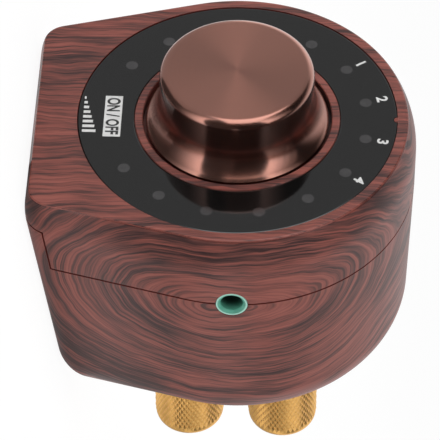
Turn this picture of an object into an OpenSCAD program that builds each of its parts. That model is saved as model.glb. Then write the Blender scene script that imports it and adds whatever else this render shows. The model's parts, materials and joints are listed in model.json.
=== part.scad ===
// Small desktop stereo amplifier: a round headed two piece case that leans back on a flat base,
// a dial panel with a turn and press knob, side sockets and four speaker terminals on the back.
//
// Every piece is drawn in the face frame: x to the right, y up along the face, z out of the face,
// with the knob axis at the origin and the face at z = 0. A depth is measured back from the face.
// stand() then leans the face back and sets the base on the ground.

/* [Case] */
// Radius of the round head
head_r = 29.6; // [28.8:0.1:32]
// Depth of the case from the face to the back
case_depth = 41.6; // [40:0.1:48]
// Height of the knob axis above the base, measured along the face
base_drop = 34.6; // [34:0.1:38]
// Lean of the face, in degrees
lean = 7.5; // [4:0.5:10]
// Distance of each base corner's centre from the middle
corner_x = 17.2; // [16:0.1:20]
// Radius of the base corners
corner_r = 5.4; // [4:0.1:7]
// How far the face edge stands in from the side
face_inset = 1.55; // [0.8:0.05:2]
// Depth of the rolled edge round the face
face_roll = 6.4; // [4:0.1:8]
// How far the back edge stands in, past the draft
back_inset = 2; // [1:0.1:2.5]
// Depth of the rolled edge round the back
back_roll = 5.4; // [4:0.1:7]
// How much the sides narrow between the seam and the back
draft = 0.5; // [0.2:0.1:0.8]
// Thickness of the side walls
wall = 2.2; // [1.8:0.1:2.6]
// Thickness of the base plate
base_t = 3.1; // [2.5:0.1:4]
// Thickness of the back wall
back_t = 2.4; // [2:0.1:3]
// Depth of the seam between the covers
seam_d = 13.4; // [13:0.1:15]
// Depth at which the rear cover's base plate begins
tongue_d = 5.3; // [5:0.1:7]

/* [Face] */
// Outer radius of the dial panel
panel_r = 26.25; // [25.5:0.05:26.6]
// Thickness of the dial panel
panel_t = 1.9; // [1:0.1:2.2]
// How far the panel lies below the face
panel_sink = 0.1; // [0.1:0.1:0.8]
// Thickness of the adhesive ring under the panel
adhesive_t = 0.2; // [0.1:0.05:0.3]
// Width of the adhesive ring
adhesive_w = 2.6; // [2:0.1:3]
// Thickness of the face wall behind the panel
floor_t = 2.2; // [1.8:0.1:2.5]
// Outer radius of the collar round the knob
collar_r = 16.9; // [16.6:0.1:17.3]
// Thickness of the collar
collar_t = 1.35; // [1:0.05:1.4]
// Radius of the circle of indicator dots
dot_ring_r = 21.55; // [21.3:0.05:21.8]
// Places round the dot circle, of which the lowest two stay empty
dot_places = 16; // [14:2:18]
// Diameter of the light guides behind the dots
guide_d = 2; // [1.6:0.1:2.2]
// Radius of the key that stops the panel from turning
key_r = 0.6; // [0.4:0.1:0.8]

/* [Knob] */
// Radius of the knob's grip
knob_r = 12.6; // [12:0.1:13.5]
// Height of the knob's top above the face
knob_h = 10.6; // [10:0.1:13]
// Radius of the round edge of the knob's top
knob_edge = 1.4; // [0.6:0.1:2]
// Thickness of the knob's top
knob_top = 2.6; // [2:0.1:3]
// Thickness of the knob's side
knob_wall = 2.2; // [1.6:0.1:2.6]
// Radius of the knob's foot flange
flange_r = 15; // [14.7:0.1:15.2]
// Height of the flange's top above the face, below 0 where the flange sits in the collar
flange_up = -0.1; // [-0.3:0.1:0.4]
// Thickness of the flange
flange_t = 0.9; // [0.7:0.1:1.1]
// Height of the curve between the flange and the grip
flare_h = 4.4; // [3.5:0.1:5]
// How far the knob is pressed in
press_travel = 0.5; // [0.3:0.1:0.7]
// Thickness of the core's disc
core_t = 1.6; // [1.2:0.1:2]
// Radius of the core's sleeve
core_r = 4.5; // [4.2:0.1:5.5]

/* [Encoder] */
// Diameter of the control shaft
shaft_d = 6; // [5.5:0.1:6.2]
// Distance of the shaft's flat from its axis
shaft_flat = 1.5; // [1.3:0.1:2]
// Outer diameter of the bushing
bush_d = 7.4; // [7.2:0.1:8]
// Length of the bushing in front of its plate
bush_l = 7; // [6.5:0.1:7.4]
// Width of the encoder
encoder_w = 12; // [11.5:0.1:13]
// Height of the encoder along the face
encoder_l = 13.2; // [12:0.1:14]
// Depth of the encoder, plate included
encoder_h = 6.5; // [6.3:0.1:6.8]
// Thickness of the bushing's plate
plate_t = 1; // [0.8:0.1:1.1]
// Radius of the rotor
rotor_r = 4.7; // [4.4:0.1:5]
// Thickness of the rotor
rotor_t = 1.6; // [1.2:0.1:1.8]
// Diameter of the switch dome
dome_d = 5; // [4.5:0.1:6]
// Thickness of the switch dome
dome_t = 0.3; // [0.2:0.05:0.4]
// Thickness of the encoder's floor
encoder_floor = 1; // [0.8:0.1:1.1]

/* [Board] */
// Clearance between the circuit board's round edge and the wall
board_gap = 1.4; // [1.2:0.1:2]
// Thickness of the circuit board
board_t = 1.6; // [1.2:0.1:2]
// Distance of the board's lower edge below the knob axis
board_drop = 26; // [25.9:0.1:26.2]
// Side of the indicator lamps
led_w = 1.6; // [1.2:0.1:1.8]
// Height of the indicator lamps
led_h = 0.7; // [0.5:0.1:0.9]
// Side of the amplifier chip
chip_w = 9; // [7:0.1:11]
// Height of the amplifier chip
chip_h = 1.2; // [0.9:0.1:1.6]
// Thickness of the heat pad
pad_t = 0.5; // [0.3:0.1:1]
// Width of the heatsink
sink_w = 13; // [11.5:0.1:14]
// Length of the heatsink
sink_l = 16; // [13:0.1:18]
// Height of the heatsink
sink_h = 8; // [6:0.1:10]
// Thickness of the heatsink's plate
sink_base = 2; // [1.5:0.1:3]
// Number of fins
fin_count = 5; // [4:1:6]
// Thickness of a fin
fin_t = 1; // [0.8:0.1:1.2]
// Side of a coil
coil_w = 6.6; // [5.5:0.1:7]
// Height of a coil
coil_h = 4; // [3:0.1:5]
// Spacing between the coils' centres
coil_pitch = 7.5; // [7.2:0.1:8]
// Distance of the coil group's centre from the middle
coil_x = 17.2; // [16.9:0.1:17.5]
// Diameter of the capacitors
cap_can_d = 8; // [6.3:0.1:9]
// Height of the capacitors
cap_can_h = 10; // [8:0.5:12]
// Distance of a capacitor from the middle
cap_can_x = 6; // [5:0.1:7]
// Height of the capacitors above the knob axis
cap_can_y = 17.5; // [16:0.1:18.5]
// Width of the radio module
radio_w = 13; // [11:0.1:15]
// Length of the radio module
radio_l = 9.5; // [8:0.1:10]
// Thickness of the radio module
radio_t = 2; // [1.5:0.1:3]
// Distance of the radio module below the knob axis
radio_drop = 18.5; // [17.5:0.1:19.5]

/* [Sockets] */
// Height of the audio socket's axis above the board
jack_axis_h = 3.2; // [3:0.1:3.4]
// Width of the audio socket
jack_w = 5.6; // [5.3:0.1:5.8]
// Length of the audio socket's housing
jack_l = 11; // [10.5:0.1:12]
// Outer diameter of the audio socket's nose
jack_nose_d = 5.1; // [4.8:0.1:5.3]
// Bore of the audio socket
jack_bore_d = 3.6; // [3.5:0.05:3.7]
// Depth of the audio socket's bore
jack_bore_l = 12.5; // [12:0.1:13]
// Chamfer at the mouth of the bore
jack_chamfer = 0.4; // [0.2:0.05:0.5]
// Width of the power socket
dc_w = 9; // [8.5:0.1:9.5]
// Height of the power socket above the board
dc_h = 9; // [8.5:0.1:10]
// Length of the power socket's housing
dc_l = 12; // [11:0.1:13]
// Height of the power socket above the knob axis
dc_y = 5.5; // [5:0.1:6]
// Diameter of the power socket's nose
dc_nose_d = 7.8; // [7.4:0.1:8.2]
// Bore of the power socket
dc_bore_d = 6.2; // [5.8:0.1:6.4]
// Diameter of the power socket's centre pin
dc_pin_d = 2.1; // [2:0.1:2.5]
// Width of the data socket
usb_w = 8.9; // [8.5:0.1:9.2]
// Height of the data socket
usb_h = 3.2; // [3:0.1:3.4]
// Length of the data socket
usb_l = 7.4; // [7:0.1:8]
// Distance of the data socket below the knob axis
usb_drop = 6.5; // [6:0.1:7]
// Sheet thickness of the data socket
usb_sheet = 0.3; // [0.25:0.05:0.4]
// Thickness of the data socket's tongue
usb_tongue_t = 0.7; // [0.6:0.05:0.8]

/* [Terminals] */
// Distance of the terminals from the middle
post_x = 13; // [12.5:0.1:14]
// Distance of the terminals above and below the knob axis
post_y = 8.1; // [7.5:0.1:8.5]
// Diameter of a terminal's stud
stud_d = 4; // [3.6:0.1:4.4]
// Diameter of a terminal's cap
cap_d = 12; // [11:0.1:12.5]
// Length of a terminal's cap
cap_l = 14.6; // [12:0.1:16]
// Rounding of the cap's outer edge
cap_edge = 1.2; // [0.6:0.1:1.6]
// Thickness of the cap's closed end
cap_end = 2; // [1.5:0.1:3]
// Diameter of the outer insulator
insulator_d = 11; // [10:0.1:11.5]
// Height of the outer insulator
insulator_h = 3; // [2:0.1:4]
// Diameter of the insulator's spigot in the back wall
spigot_d = 6; // [5.6:0.1:6.6]
// Thickness of the clamp washer
washer_t = 0.8; // [0.6:0.1:1.2]
// Diameter of the inner insulator
inner_d = 9; // [8:0.1:10]
// Thickness of the inner insulator
inner_t = 1; // [0.8:0.1:1.5]
// Width of the nut across its flats
nut_af = 7; // [6.5:0.1:7.5]
// Thickness of the nut
nut_t = 3.2; // [2.5:0.1:4]
// Diameter of the solder tag's ring
tag_d = 8; // [7:0.1:9]
// Thickness of the solder tag
tag_t = 0.8; // [0.5:0.1:1]
// Width of the solder tag's tail
tag_w = 2; // [1.5:0.1:2.5]
// Length of the stud past the nut
stud_end = 1; // [0.5:0.1:2]
// Free length of the bore past the stud's tip
tip_gap = 0.5; // [0.3:0.1:1]
// Diameter of the wire hole through the stud
wire_hole_d = 1.6; // [1.2:0.1:1.8]

/* [Screws] */
// Distance of the upper screws from the middle, and above the knob axis
screw_high = 16; // [15.8:0.1:16.3]
// Distance of the lower screws from the middle
screw_low_x = 14.5; // [14.2:0.1:15]
// Distance of the lower screws below the knob axis
screw_low_drop = 22.5; // [22:0.1:22.7]
// Diameter of the screws
screw_d = 2.5; // [2.2:0.1:2.8]
// Length of the screws below the head
screw_l = 13; // [11:0.1:14]
// Diameter of the screw heads
head_d = 4.8; // [4.4:0.1:5]
// Height of the screw heads
head_h = 1.8; // [1.4:0.1:2.2]
// Width of the cross recess in a screw head
recess_w = 0.7; // [0.5:0.1:0.9]
// Radius of the front cover's bosses
boss_r = 2.8; // [2.5:0.1:2.9]
// Wall round the sunk screw heads
boss_wall = 1; // [0.8:0.1:1.2]
// Thickness of plastic under a screw head
boss_seat = 4; // [3:0.1:5]

/* [Fits] */
// Radial clearance of turning and sliding pieces
run_gap = 0.05; // [0.03:0.01:0.08]
// Clearance round pieces that are set in a hole or a recess
seat_gap = 0.1; // [0.05:0.01:0.15]
// Clearance of sockets and heads in their openings
open_gap = 0.3; // [0.2:0.05:0.4]

/* [Hidden] */
$fn = 64;

// Steps of the arcs in the case's skin
head_steps = 56;
corner_steps = 8;
roll_steps = 5;
edge_steps = 6;
// Larger than the whole object, for cuts that pass right through
far = 200;
// How far a cut runs past the face that it opens
over = 1;

recess_d = panel_sink + panel_t + adhesive_t;
front_d = recess_d + floor_t;
collar_in = collar_r - collar_t;
panel_in = collar_r + seat_gap;
board_r = head_r - wall - board_gap;
board_d = seam_d + jack_axis_h;
board_back = board_d + board_t;
back_in = case_depth - back_t;
axis_h = base_drop * cos(lean);
foot_y = base_drop * sin(lean) - case_depth / (2 * cos(lean));

knob_in_r = knob_r - knob_wall;
knob_in_h = knob_h - knob_top;
encoder_d = board_d - encoder_h;
rotor_d = encoder_d + plate_t + 2 * seat_gap;
dome_d0 = board_d - encoder_floor - dome_t;
shaft_end_d = dome_d0 - press_travel - seat_gap;
shaft_round_to = rotor_d - press_travel - 2 * seat_gap;
core_end_d = -flange_up;
shaft_top = knob_in_h - core_t + seat_gap;

chip_back = board_back + chip_h;
sink_d = chip_back + pad_t;
cap_from = case_depth + insulator_h + washer_t;
cap_bore_to = cap_from + cap_l - cap_end;
tag_from = back_in - inner_t - tag_t;
nut_from = tag_from - nut_t;
seat_d = board_back + boss_seat;
boss_back_r = head_d / 2 + open_gap + boss_wall;

posts = [[-post_x, post_y], [-post_x, -post_y], [post_x, post_y], [post_x, -post_y]];
screws = [
    [-screw_high, screw_high], [screw_high, screw_high],
    [-screw_low_x, -screw_low_drop], [screw_low_x, -screw_low_drop]
];
dots = [for (i = [0:dot_places - 1]) 360 / dot_places * (i + 0.5)];
lit_dots = [for (a = dots) if (abs(a - 180) > 360 / dot_places) a];

wood = [0.5, 0.28, 0.25];
black = [0.08, 0.08, 0.09];
copper = [0.55, 0.36, 0.3];
gold = [0.85, 0.65, 0.3];
steel = [0.7, 0.7, 0.72];

// Arc from [inset, 0] to [0, length] that ends along the length
function roll(inset, length) =
    let (sweep = 2 * atan2(inset, length), radius = length / sin(sweep))
    [for (i = [0:roll_steps])
        let (a = sweep * (1 - i / roll_steps))
        [radius * (1 - cos(a)), length - radius * sin(a)]];

// Half width of a circle of radius r at a height h
function chord(r, h) = sqrt(r * r - h * h);

// Outline of the case at a depth, set in by side_in on the round and by base_in on the base
function outline(side_in, base_in, d) =
    let (
        x = corner_x + d * tan(lean) * tan(side_angle()),
        y = corner_r - base_drop + d * tan(lean) - side_in + base_in,
        a = atan2(y, x) + acos((head_r - corner_r) / norm([x, y])),
        arc = 180 - 2 * a,
        turn = 90 + a
    )
    [
        for (i = [0:head_steps])
            let (t = a + arc * i / head_steps)
            [(head_r - side_in) * cos(t), (head_r - side_in) * sin(t), -d],
        for (i = [0:corner_steps])
            let (t = 180 - a + turn * i / corner_steps)
            [(corner_r - side_in) * cos(t) - x, (corner_r - side_in) * sin(t) + y, -d],
        for (i = [0:corner_steps])
            let (t = 270 + turn * i / corner_steps)
            [(corner_r - side_in) * cos(t) + x, (corner_r - side_in) * sin(t) + y, -d]
    ];

// Angle by which each side leans in towards the base
function side_angle() =
    let (y = corner_r - base_drop)
    -atan2(y, corner_x) - acos((head_r - corner_r) / norm([corner_x, y]));

// Closed skin through a stack of outlines, each given as [side_in, base_in, depth]
module skin(stack) {
    n = head_steps + 2 * corner_steps + 3;
    last = (len(stack) - 1) * n;
    polyhedron(
        points = [for (s = stack) each outline(s[0], s[1], s[2])],
        faces = [
            [for (j = [n - 1:-1:0]) j],
            [for (j = [0:n - 1]) last + j],
            for (k = [0:len(stack) - 2], j = [0:n - 1])
                let (a = k * n + j, b = k * n + (j + 1) % n)
                each [[a, b, b + n], [a, b + n, a + n]]
        ]
    );
}

// Leans the face frame back and puts the base on the ground
module stand() {
    translate([0, foot_y, axis_h]) rotate([90 - lean, 0, 0]) children();
}

// The ground's own frame, seen from inside stand()
module level() {
    rotate([lean - 90, 0, 0]) translate([0, -foot_y, -axis_h]) children();
}

// Round bar along the depth
module rod(r, from_d, to_d) {
    translate([0, 0, -to_d]) cylinder(r = r, h = to_d - from_d);
}

// Round tube along the depth
module tube(r, bore_r, from_d, to_d) {
    difference() {
        rod(r, from_d, to_d);
        rod(bore_r, from_d - over, to_d + over);
    }
}

// Block along the depth, centred on the axis
module block(w, l, from_d, to_d) {
    translate([-w / 2, -l / 2, -to_d]) cube([w, l, to_d - from_d]);
}

// Round bar with a flat, along the depth
module flat_rod(r, flat, from_d, to_d) {
    translate([0, 0, -to_d]) linear_extrude(to_d - from_d) intersection() {
        circle(r);
        translate([-r, -r]) square([2 * r, r + flat]);
    }
}

// Round bar across the case, from one side position to another
module cross_rod(r, from_x, to_x) {
    translate([from_x, 0, 0]) rotate([0, 90, 0]) cylinder(r = r, h = to_x - from_x);
}

// Puts its children at each place of a list
module each_at(places) {
    for (p = places) translate([p[0], p[1], 0]) children();
}

// Puts its children at each lit dot
module each_dot() {
    for (a = lit_dots) rotate(-a) translate([0, dot_ring_r, 0]) children();
}

// The whole outer form of the case
module case_form() {
    front = [for (p = roll(face_inset, face_roll)) [p[0], p[0], p[1]]];
    rear = roll(back_inset, back_roll);
    back = [for (i = [roll_steps:-1:0])
        let (p = rear[i])
        [draft + p[0], p[0], case_depth - p[1]]];
    skin(concat(front, [[0, 0, seam_d]], back));
}

// The hollow inside the case
module case_hollow() {
    skin([[wall, base_t, front_d], [wall, base_t, back_in]]);
}

// Everything on the rear cover's side of the seam
module rear_side() {
    translate([-far / 2, -far / 2, -far - seam_d]) cube(far);
    intersection() {
        level() translate([-far / 2, -far / 2, base_t - far]) cube(far);
        translate([-far / 2, -far / 2, -far - tongue_d]) cube(far);
    }
}

// Opening for the audio socket's nose, shared by both covers
module jack_opening() {
    translate([0, 0, -seam_d]) cross_rod(jack_nose_d / 2 + seat_gap, head_r - 2 * wall, head_r + over);
}

// Front cover
module front_cover() {
    color(wood) stand() difference() {
        union() {
            difference() {
                case_form();
                rear_side();
                case_hollow();
                rod(panel_r + seat_gap, -over, recess_d);
            }
            rod(collar_r, 0, recess_d + seat_gap);
            each_at(screws) rod(boss_r, recess_d + seat_gap, board_d);
            panel_key(key_r);
        }
        rod(collar_in, -over, recess_d);
        rod(bush_d / 2 + seat_gap, 0, front_d + over);
        each_dot() rod(guide_d / 2 + run_gap, 0, front_d + over);
        each_at(screws) rod(screw_d / 2 + run_gap, seat_d - screw_l - over, board_d + over);
        jack_opening();
    }
}

// Small key at the top of the panel's recess
module panel_key(r) {
    translate([0, panel_r + seat_gap, 0]) rod(r, panel_sink, recess_d + seat_gap);
}

// Rear cover
module rear_cover() {
    color(wood) stand() difference() {
        union() {
            difference() {
                intersection() {
                    case_form();
                    rear_side();
                }
                case_hollow();
            }
            each_at(screws) rod(boss_back_r, board_back, back_in + seat_gap);
        }
        each_at(screws) rod(head_d / 2 + open_gap, seat_d, case_depth + over);
        each_at(screws) rod(screw_d / 2 + open_gap, board_back - over, seat_d + over);
        each_at(posts) rod(spigot_d / 2 + seat_gap, back_in - over, case_depth + over);
        jack_opening();
        power_place() cross_rod(dc_nose_d / 2 + open_gap, -head_r - over, -head_r + 2 * wall);
        data_place() translate([-head_r - over, 0, 0]) rotate([0, 90, 0])
            linear_extrude(2 * wall + over) slot(usb_h + 2 * open_gap, usb_w + 2 * open_gap);
    }
}

// Slot with round ends, w wide and l long
module slot(w, l) {
    square([w, l - w], center = true);
    for (s = [-1, 1]) translate([0, s * (l - w) / 2]) circle(w / 2);
}

// Dial panel
module dial_panel() {
    color(black) stand() difference() {
        tube(panel_r, panel_in, panel_sink, panel_sink + panel_t);
        translate([0, 0, over]) panel_key(key_r + seat_gap);
        panel_key(key_r + seat_gap);
    }
}

// Adhesive ring under the dial panel
module panel_adhesive() {
    color([0.9, 0.9, 0.85]) stand()
        tube(panel_in + adhesive_w, panel_in, panel_sink + panel_t, recess_d);
}

// Light guides between the lamps and the panel
module light_guides() {
    color([0.9, 0.9, 0.95]) stand()
        each_dot() rod(guide_d / 2, panel_sink + panel_t + run_gap, board_d - led_h - seat_gap);
}

// Indicator lamps on the front of the board
module indicator_lamps() {
    color([0.95, 0.95, 0.9]) stand() each_dot() block(led_w, led_w, board_d - led_h, board_d);
}

// Circuit board
module circuit_board() {
    color([0.1, 0.3, 0.15]) stand() difference() {
        rod(board_r, board_d, board_back);
        translate([0, -far / 2 - board_drop, 0]) cube([far, far, far], center = true);
        each_at(screws) rod(screw_d / 2 + open_gap, board_d - over, board_back + over);
    }
}

// Amplifier chip on the back of the board
module amplifier_chip() {
    color(black) stand() block(chip_w, chip_w, board_back, chip_back);
}

// Heat pad between the chip and the heatsink
module heat_pad() {
    color([0.5, 0.6, 0.7]) stand() block(chip_w, chip_w, chip_back, sink_d);
}

// Heatsink with upright fins
module heatsink() {
    fin_pitch = (sink_w - fin_t) / (fin_count - 1);
    color(steel) stand() union() {
        block(sink_w, sink_l, sink_d, sink_d + sink_base);
        for (i = [0:fin_count - 1])
            translate([(fin_t - sink_w) / 2 + i * fin_pitch, 0, 0])
                block(fin_t, sink_l, sink_d + sink_base - seat_gap, sink_d + sink_h);
    }
}

// Filter coils on the back of the board
module filter_coils() {
    color([0.2, 0.2, 0.22]) stand()
        for (i = [-0.5, 0.5], j = [-0.5, 0.5])
            translate([coil_x + i * coil_pitch, j * coil_pitch, 0])
                block(coil_w, coil_w, board_back, board_back + coil_h);
}

// Capacitors on the back of the board
module capacitors() {
    color([0.15, 0.15, 0.3]) stand()
        each_at([[-cap_can_x, cap_can_y], [cap_can_x, cap_can_y]])
            rod(cap_can_d / 2, board_back, board_back + cap_can_h);
}

// Radio module on the back of the board
module radio_module() {
    color([0.1, 0.2, 0.4]) stand()
        translate([0, -radio_drop, 0]) block(radio_w, radio_l, board_back, board_back + radio_t);
}

// Knob shell
module knob() {
    foot = flange_up - flange_t;
    flare = roll(flange_r - knob_r, flare_h);
    color(copper) stand() rotate_extrude() polygon([
        [knob_in_r, foot],
        [flange_r, foot],
        for (p = flare) [knob_r + p[0], flange_up + p[1]],
        for (i = [0:edge_steps])
            let (a = 90 * i / edge_steps)
            [knob_r - knob_edge * (1 - cos(a)), knob_h - knob_edge * (1 - sin(a))],
        [0, knob_h],
        [0, knob_in_h],
        [knob_in_r, knob_in_h]
    ]);
}

// Plastic core that grips the shaft inside the knob
module knob_core() {
    color(black) stand() difference() {
        union() {
            rod(knob_in_r, -knob_in_h, core_t - knob_in_h);
            rod(core_r, -knob_in_h + seat_gap, core_end_d);
        }
        flat_rod(shaft_d / 2 + run_gap, shaft_flat + run_gap, -shaft_top - seat_gap, over);
    }
}

// Control shaft with a flat at each end
module encoder_shaft() {
    color(steel) stand() union() {
        flat_rod(shaft_d / 2, shaft_flat, -shaft_top, core_end_d + 2 * seat_gap);
        rod(shaft_d / 2, core_end_d + seat_gap, shaft_round_to);
        flat_rod(shaft_d / 2, shaft_flat, shaft_round_to - seat_gap, shaft_end_d);
    }
}

// Rotor that turns with the shaft, which slides through it
module encoder_rotor() {
    color([0.85, 0.85, 0.8]) stand() difference() {
        rod(rotor_r, rotor_d, rotor_d + rotor_t);
        flat_rod(shaft_d / 2 + run_gap, shaft_flat + run_gap, rotor_d - over, rotor_d + rotor_t + over);
    }
}

// Bushing and plate at the front of the encoder
module encoder_bushing() {
    color(steel) stand() difference() {
        union() {
            block(encoder_w, encoder_l, encoder_d, encoder_d + plate_t);
            rod(bush_d / 2, encoder_d - bush_l, encoder_d + plate_t / 2);
        }
        rod(shaft_d / 2 + run_gap, encoder_d - bush_l - over, encoder_d + plate_t + over);
    }
}

// Encoder base on the board, with the rotor's well and the switch's well
module encoder_base() {
    color([0.25, 0.25, 0.27]) stand() difference() {
        block(encoder_w, encoder_l, encoder_d + plate_t, board_d);
        rod(rotor_r + seat_gap, encoder_d, rotor_d + rotor_t + 2 * seat_gap);
        rod(shaft_d / 2 + 2 * seat_gap, encoder_d, board_d - encoder_floor);
    }
}

// Snap dome under the shaft
module switch_dome() {
    color(steel) stand() rod(dome_d / 2, dome_d0, dome_d0 + dome_t);
}

// Audio socket on the front of the board, with its nose in the side wall
module audio_socket() {
    nose_x = head_r - seat_gap;
    housing_x = head_r - wall - open_gap;
    bore_r = jack_bore_d / 2;
    color([0.4, 0.68, 0.58]) stand() difference() {
        union() {
            translate([housing_x - jack_l / 2, 0, 0]) block(jack_l, jack_w, seam_d - jack_axis_h, board_d);
            translate([0, 0, -seam_d]) cross_rod(jack_nose_d / 2, housing_x - seat_gap, nose_x);
        }
        translate([0, 0, -seam_d]) {
            cross_rod(bore_r, nose_x - jack_bore_l, nose_x + over);
            translate([nose_x - jack_chamfer, 0, 0]) rotate([0, 90, 0])
                cylinder(r1 = bore_r, r2 = bore_r + jack_chamfer, h = jack_chamfer + run_gap);
        }
    }
}

// Axis of the power socket on the left side
module power_place() {
    translate([0, dc_y, -board_back - dc_h / 2]) children();
}

// Inner wall's nearest side position over the socket's width
function dc_face_x() = chord(head_r - wall - draft, dc_y + dc_w / 2) - open_gap;

// Nose of the power socket stops inside the wall's outer face
function dc_nose_x() = chord(head_r - draft, dc_y + dc_nose_d / 2) - open_gap;

// Power socket housing on the back of the board
module power_socket() {
    color(black) stand() difference() {
        union() {
            translate([dc_l / 2 - dc_face_x(), dc_y, 0]) block(dc_l, dc_w, board_back, board_back + dc_h);
            power_place() cross_rod(dc_nose_d / 2, -dc_nose_x(), seat_gap - dc_face_x());
        }
        power_place() cross_rod(dc_bore_d / 2, -dc_nose_x() - over, dc_l * 3 / 4 - dc_face_x());
    }
}

// Centre pin of the power socket
module power_pin() {
    color(steel) stand()
        power_place() cross_rod(dc_pin_d / 2, over - dc_nose_x(), dc_l * 3 / 4 - dc_face_x());
}

// Axis of the data socket on the left side
module data_place() {
    translate([0, -usb_drop, -board_back - usb_h / 2]) children();
}

// Mouth of the data socket, level with the lower end of its slot
function usb_mouth_x() =
    (head_r - draft - (usb_drop + usb_w / 2) * sin(side_angle())) / cos(side_angle()) - open_gap;

// Metal shell of the data socket on the back of the board
module data_socket() {
    color(steel) stand() data_place() translate([-usb_mouth_x(), 0, 0]) rotate([0, 90, 0]) difference() {
        linear_extrude(usb_l) slot(usb_h, usb_w);
        translate([0, 0, -over]) linear_extrude(usb_l + over - usb_sheet)
            slot(usb_h - 2 * usb_sheet, usb_w - 2 * usb_sheet);
    }
}

// Contact tongue inside the data socket
module data_tongue() {
    color(black) stand() data_place() translate([over - usb_mouth_x(), 0, 0])
        translate([0, -usb_w / 3, -usb_tongue_t / 2]) cube([usb_l - usb_sheet - over, usb_w * 2 / 3, usb_tongue_t]);
}

// Terminal studs, each with a wire hole under its cap
module terminal_studs() {
    color(gold) stand() each_at(posts) difference() {
        rod(stud_d / 2, nut_from - stud_end, cap_bore_to - tip_gap);
        translate([0, 0, -cap_from - wire_hole_d / 2]) rotate([90, 0, 0])
            cylinder(d = wire_hole_d, h = stud_d + over, center = true);
    }
}

// Outer insulators of one colour, with a spigot through the back wall
module outer_insulators(places) {
    each_at(places) difference() {
        union() {
            rod(insulator_d / 2, case_depth, case_depth + insulator_h);
            rod(spigot_d / 2, back_in, case_depth + seat_gap);
        }
        rod(stud_d / 2 + run_gap, back_in - over, case_depth + insulator_h + over);
    }
}

// Red outer insulators
module red_insulators() {
    color([0.7, 0.1, 0.1]) stand() outer_insulators([posts[0], posts[2]]);
}

// Black outer insulators
module black_insulators() {
    color(black) stand() outer_insulators([posts[1], posts[3]]);
}

// Inner insulators
module inner_insulators() {
    color(black) stand() each_at(posts) tube(inner_d / 2, stud_d / 2 + run_gap, back_in - inner_t, back_in);
}

// Nuts that clamp the terminals
module terminal_nuts() {
    color(gold) stand() each_at(posts) difference() {
        translate([0, 0, -tag_from]) cylinder(d = nut_af / cos(30), h = nut_t, $fn = 6);
        rod(stud_d / 2 + run_gap, nut_from - over, tag_from + over);
    }
}

// Solder tags, each with a tail down to the board on the inner side
module solder_tags() {
    color(gold) stand() each_at(posts) difference() {
        union() {
            rod(tag_d / 2, tag_from, tag_from + tag_t);
            block(tag_d + 2 * tag_t, tag_w, tag_from, tag_from + tag_t);
        }
        rod(stud_d / 2 + run_gap, tag_from - over, tag_from + tag_t + over);
    }
    color(gold) stand() for (p = posts)
        translate([p[0] - sign(p[0]) * (tag_d + tag_t) / 2, p[1], 0])
            block(tag_t, tag_w, board_back, tag_from);
}

// Clamp washer of one terminal
module cap_washer(place) {
    color(gold) stand() each_at([place])
        tube(insulator_d / 2, stud_d / 2 + run_gap, case_depth + insulator_h, cap_from);
}

// Screw cap of one terminal
module terminal_cap(place) {
    r = cap_d / 2;
    color(gold) stand() each_at([place]) difference() {
        rotate_extrude() polygon([
            [0, -cap_from],
            [r, -cap_from],
            for (i = [0:edge_steps])
                let (a = 90 * i / edge_steps)
                [r - cap_edge * (1 - cos(a)), cap_edge * (1 - sin(a)) - cap_from - cap_l],
            [0, -cap_from - cap_l]
        ]);
        rod(stud_d / 2 + run_gap, cap_from - over, cap_bore_to);
    }
}

// Screws that hold the covers and the board together
module case_screws() {
    color(steel) stand() each_at(screws) difference() {
        union() {
            rod(screw_d / 2, seat_d - screw_l, seat_d + head_h / 2);
            rod(head_d / 2, seat_d, seat_d + head_h);
        }
        for (turn = [0, 90]) rotate(turn)
            block(recess_w, head_d * 2 / 3, seat_d + head_h / 2, seat_d + head_h + over);
    }
}

front_cover();
rear_cover();
dial_panel();
panel_adhesive();
light_guides();
indicator_lamps();
circuit_board();
amplifier_chip();
heat_pad();
heatsink();
filter_coils();
capacitors();
radio_module();
knob();
knob_core();
encoder_shaft();
encoder_rotor();
encoder_bushing();
encoder_base();
switch_dome();
audio_socket();
power_socket();
power_pin();
data_socket();
data_tongue();
terminal_studs();
red_insulators();
black_insulators();
inner_insulators();
terminal_nuts();
solder_tags();
cap_washer(posts[0]);  // left_red_washer
cap_washer(posts[1]);  // left_black_washer
cap_washer(posts[2]);  // right_red_washer
cap_washer(posts[3]);  // right_black_washer
terminal_cap(posts[0]);  // left_red_cap
terminal_cap(posts[1]);  // left_black_cap
terminal_cap(posts[2]);  // right_red_cap
terminal_cap(posts[3]);  // right_black_cap
case_screws();
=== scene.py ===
"""Small desktop stereo amplifier with a wood grain case, a dial panel, a knob and screw terminals."""

import json
import math

import bpy
from mathutils import Matrix, Vector


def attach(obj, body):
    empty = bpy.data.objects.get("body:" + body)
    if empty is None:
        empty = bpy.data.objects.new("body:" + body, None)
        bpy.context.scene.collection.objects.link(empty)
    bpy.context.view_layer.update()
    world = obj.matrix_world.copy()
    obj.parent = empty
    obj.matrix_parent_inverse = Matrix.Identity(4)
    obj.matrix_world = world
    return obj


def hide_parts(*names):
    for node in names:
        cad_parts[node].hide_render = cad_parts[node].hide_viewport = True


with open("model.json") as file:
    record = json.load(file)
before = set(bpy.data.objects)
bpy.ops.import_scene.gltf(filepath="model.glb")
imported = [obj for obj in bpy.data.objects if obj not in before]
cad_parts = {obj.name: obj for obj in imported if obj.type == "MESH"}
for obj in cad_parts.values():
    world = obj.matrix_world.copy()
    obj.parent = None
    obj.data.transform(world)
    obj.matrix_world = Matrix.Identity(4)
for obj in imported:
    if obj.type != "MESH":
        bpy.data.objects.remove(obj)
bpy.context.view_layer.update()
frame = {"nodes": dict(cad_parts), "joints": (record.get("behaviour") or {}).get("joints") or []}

# Each piece is built in the face frame, in millimetres: x to the right, y up along the face and
# z out of it, with the knob's axis at the origin. A depth is measured back from the face.
MM = 0.001
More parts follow.
